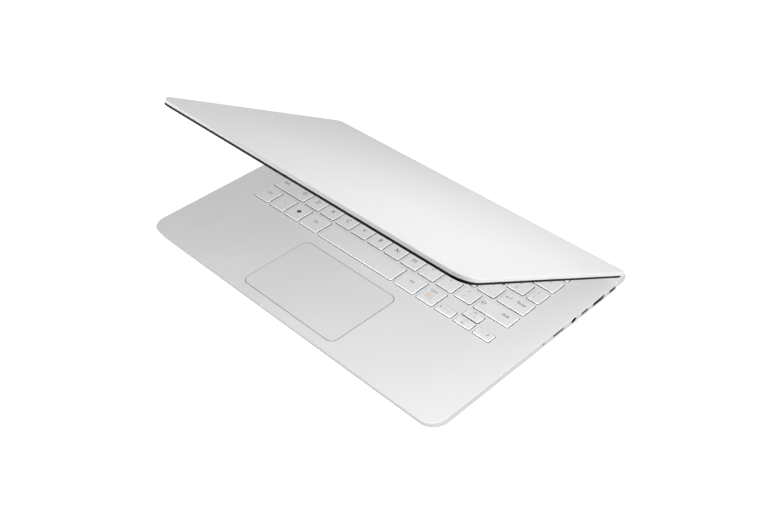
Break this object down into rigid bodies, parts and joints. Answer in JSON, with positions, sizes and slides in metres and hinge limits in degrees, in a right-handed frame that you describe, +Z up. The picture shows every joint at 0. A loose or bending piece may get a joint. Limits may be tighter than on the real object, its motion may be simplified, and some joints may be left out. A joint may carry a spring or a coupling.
{
  "type": "laptop computer",
  "caption": "Slim laptop computer with a hinged lid and display, keys, touchpad and side sockets, shown with its lid part open.",
  "frame": {"origin": "on the desk, under the middle of the case's outline", "axes": "+X to the user's right, +Y from the user to the hinge, +Z up"},
  "size_m": [0.3234, 0.2161, 0.1191],
  "materials": {
    "case_paint": "finely textured satin silver",
    "key_plastic": "satin silver, as the case",
    "dark_plastic": "moulded matte",
    "rubber": "soft matte",
    "steel": "pressed sheet",
    "copper": "flattened tube",
    "board": "coated board",
    "screen": "half-gloss panel",
    "light": "clear light pipe",
    "diffuser": "white sheet"
  },
  "bodies": {
    "base": {"battery_pack": "dark_plastic", "bottom_cover": "case_paint", "card_slot": "dark_plastic", "cover_screws": "steel", "fan_housing": "dark_plastic", "headphone_socket": "dark_plastic", "heat_pipe": "copper", "heat_sink_fins": "steel", "hinge_screws": "steel", "key_domes": "rubber", "keyboard_plate": "steel", "left_data_socket": "steel", "left_hinge_bracket": "steel", "left_hinge_cap": "case_paint", "left_speaker": "dark_plastic", "mainboard": "board", "memory_module": "board", "power_inlet": "dark_plastic", "processor": "board", "right_data_socket": "steel", "right_hinge_bracket": "steel", "right_hinge_cap": "case_paint", "right_speaker": "dark_plastic", "round_data_socket": "steel", "rubber_feet": "rubber", "side_board": "board", "small_data_socket": "steel", "solid_state_drive": "board", "status_light": "light", "top_case": "case_paint", "touchpad_bracket": "steel", "touchpad_switch": "steel", "video_socket": "steel", "wireless_card": "board"},
    "lid": {"lid_cover": "case_paint", "display_bezel": "dark_plastic", "bezel_gasket": "rubber", "display_panel": "screen", "backlight_unit": "diffuser", "camera_module": "dark_plastic", "antennas": "board", "hinge_cover": "dark_plastic", "left_hinge_pin": "steel", "right_hinge_pin": "steel", "left_hinge_arm": "steel", "right_hinge_arm": "steel"},
    "fan": {"fan_rotor": "dark_plastic"},
    "touchpad": {"touchpad": "key_plastic"},
    "function_keys": {"function_keys": "key_plastic"},
    "power_key": {"power_key": "key_plastic"},
    "number_keys": {"number_keys": "key_plastic"},
    "upper_letter_keys": {"upper_letter_keys": "key_plastic"},
    "home_letter_keys": {"home_letter_keys": "key_plastic"},
    "lower_letter_keys": {"lower_letter_keys": "key_plastic"},
    "bottom_row_keys": {"bottom_row_keys": "key_plastic"},
    "arrow_keys": {"arrow_keys": "key_plastic"},
    "space_bar": {"space_bar": "key_plastic"},
    "enter_key": {"enter_key": "key_plastic"},
    "left_shift_key": {"left_shift_key": "key_plastic"},
    "right_shift_key": {"right_shift_key": "key_plastic"}
  },
  "joints": [
    {"name": "lid_hinge", "type": "hinge", "parent": "base", "child": "lid", "pos_m": [0, 0.1032, 0.0098], "axis": [-1, 0, 0], "range_deg": [-29.75, 105.25]},
    {"name": "fan_spin", "type": "hinge", "parent": "base", "child": "fan", "pos_m": [0.095, 0.054, 0.004], "axis": [0, 0, 1], "continuous": true},
    {"name": "touchpad_press", "type": "hinge", "parent": "base", "child": "touchpad", "pos_m": [0.0021, -0.0317, 0.0084], "axis": [1, 0, 0], "range_deg": [0, 0.35], "stiffness_Nm_per_rad": 4, "springref_deg": -1.72},
    {"name": "function_keys_press", "type": "slide", "parent": "base", "child": "function_keys", "axis": [0, 0, 1], "range_m": [-0.0014, 0], "stiffness_N_per_m": 500, "springref_m": 0.0012, "deforming": ["key_domes"]},
    {"name": "power_key_press", "type": "slide", "parent": "base", "child": "power_key", "axis": [0, 0, 1], "range_m": [-0.0014, 0], "stiffness_N_per_m": 500, "springref_m": 0.0012, "deforming": ["key_domes"]},
    {"name": "number_keys_press", "type": "slide", "parent": "base", "child": "number_keys", "axis": [0, 0, 1], "range_m": [-0.0014, 0], "stiffness_N_per_m": 500, "springref_m": 0.0012, "deforming": ["key_domes"]},
    {"name": "upper_letter_keys_press", "type": "slide", "parent": "base", "child": "upper_letter_keys", "axis": [0, 0, 1], "range_m": [-0.0014, 0], "stiffness_N_per_m": 500, "springref_m": 0.0012, "deforming": ["key_domes"]},
    {"name": "home_letter_keys_press", "type": "slide", "parent": "base", "child": "home_letter_keys", "axis": [0, 0, 1], "range_m": [-0.0014, 0], "stiffness_N_per_m": 500, "springref_m": 0.0012, "deforming": ["key_domes"]},
    {"name": "lower_letter_keys_press", "type": "slide", "parent": "base", "child": "lower_letter_keys", "axis": [0, 0, 1], "range_m": [-0.0014, 0], "stiffness_N_per_m": 500, "springref_m": 0.0012, "deforming": ["key_domes"]},
    {"name": "bottom_row_keys_press", "type": "slide", "parent": "base", "child": "bottom_row_keys", "axis": [0, 0, 1], "range_m": [-0.0014, 0], "stiffness_N_per_m": 500, "springref_m": 0.0012, "deforming": ["key_domes"]},
    {"name": "arrow_keys_press", "type": "slide", "parent": "base", "child": "arrow_keys", "axis": [0, 0, 1], "range_m": [-0.0014, 0], "stiffness_N_per_m": 500, "springref_m": 0.0012, "deforming": ["key_domes"]},
    {"name": "space_bar_press", "type": "slide", "parent": "base", "child": "space_bar", "axis": [0, 0, 1], "range_m": [-0.0014, 0], "stiffness_N_per_m": 500, "springref_m": 0.0012, "deforming": ["key_domes"]},
    {"name": "enter_key_press", "type": "slide", "parent": "base", "child": "enter_key", "axis": [0, 0, 1], "range_m": [-0.0014, 0], "stiffness_N_per_m": 500, "springref_m": 0.0012, "deforming": ["key_domes"]},
    {"name": "left_shift_key_press", "type": "slide", "parent": "base", "child": "left_shift_key", "axis": [0, 0, 1], "range_m": [-0.0014, 0], "stiffness_N_per_m": 500, "springref_m": 0.0012, "deforming": ["key_domes"]},
    {"name": "right_shift_key_press", "type": "slide", "parent": "base", "child": "right_shift_key", "axis": [0, 0, 1], "range_m": [-0.0014, 0], "stiffness_N_per_m": 500, "springref_m": 0.0012, "deforming": ["key_domes"]}
  ]
}
